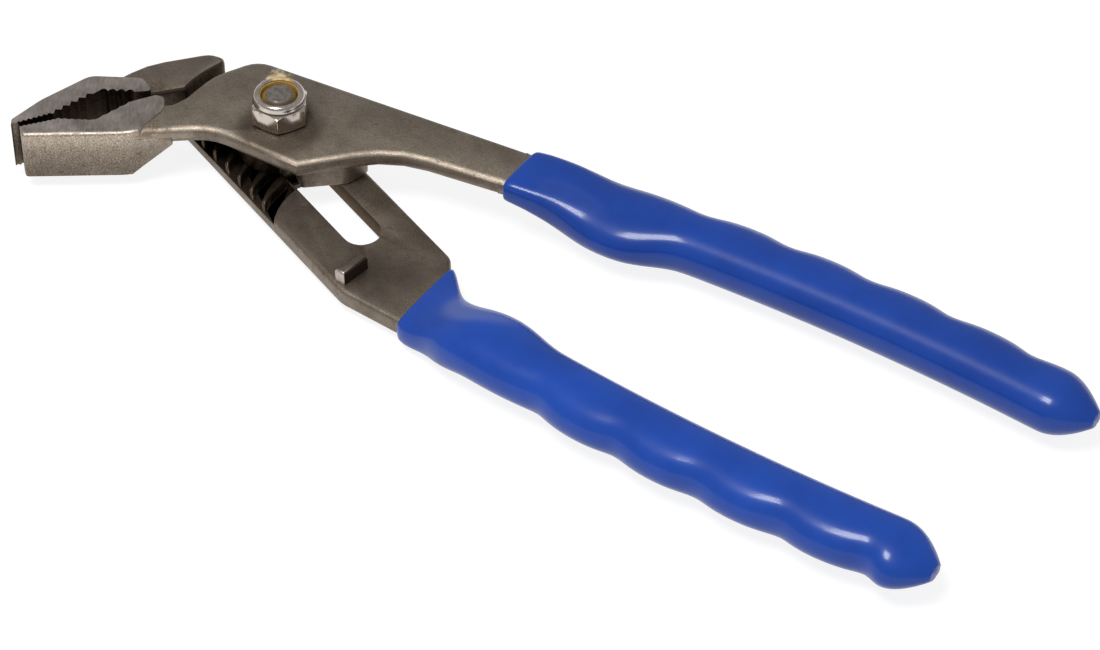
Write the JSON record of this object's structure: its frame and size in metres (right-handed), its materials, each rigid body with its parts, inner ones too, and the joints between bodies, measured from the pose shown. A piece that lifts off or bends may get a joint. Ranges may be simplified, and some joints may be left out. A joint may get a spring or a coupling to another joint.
{
  "type": "water pump pliers",
  "caption": "Slip-joint water pump pliers with angled toothed jaws, a slotted arm with arc ridges, a hex lock nut and blue dipped grips that open the jaws round a sliding pivot.",
  "frame": {"origin": "on the pivot axis, on the outer face of the bolt head that the tool rests on", "axes": "+X along the handles away from the jaws, +Y from the slotted half's handle towards the other one, +Z along the pivot from the bolt head to the nut"},
  "size_m": [0.2476, 0.076, 0.0238],
  "materials": {
    "groove_half_steel": "forged, shot-blasted, dark oxide tone",
    "lower_grip_vinyl": "glossy dipped vinyl",
    "tongue_half_steel": "forged, shot-blasted, jaw faces ground",
    "upper_grip_vinyl": "glossy dipped vinyl",
    "bolt_steel": "turned",
    "nut_steel": "plated, slightly worn",
    "ring_nylon": "natural nylon"
  },
  "bodies": {
    "lower_half": {"groove_half": "groove_half_steel", "lower_grip": "lower_grip_vinyl"},
    "pivot": {"pivot_bolt": "bolt_steel", "lock_nut": "nut_steel", "nylon_ring": "ring_nylon"},
    "upper_half": {"tongue_half": "tongue_half_steel", "upper_grip": "upper_grip_vinyl"}
  },
  "joints": [
    {"name": "groove_setting", "type": "slide", "parent": "lower_half", "child": "pivot", "axis": [0.9285, -0.3714, 0], "range_m": [0, 0.0318]},
    {"name": "jaw_opening", "type": "hinge", "parent": "pivot", "child": "upper_half", "pos_m": [0, 0, 0], "axis": [0, 0, 1], "range_deg": [0, 50]}
  ]
}
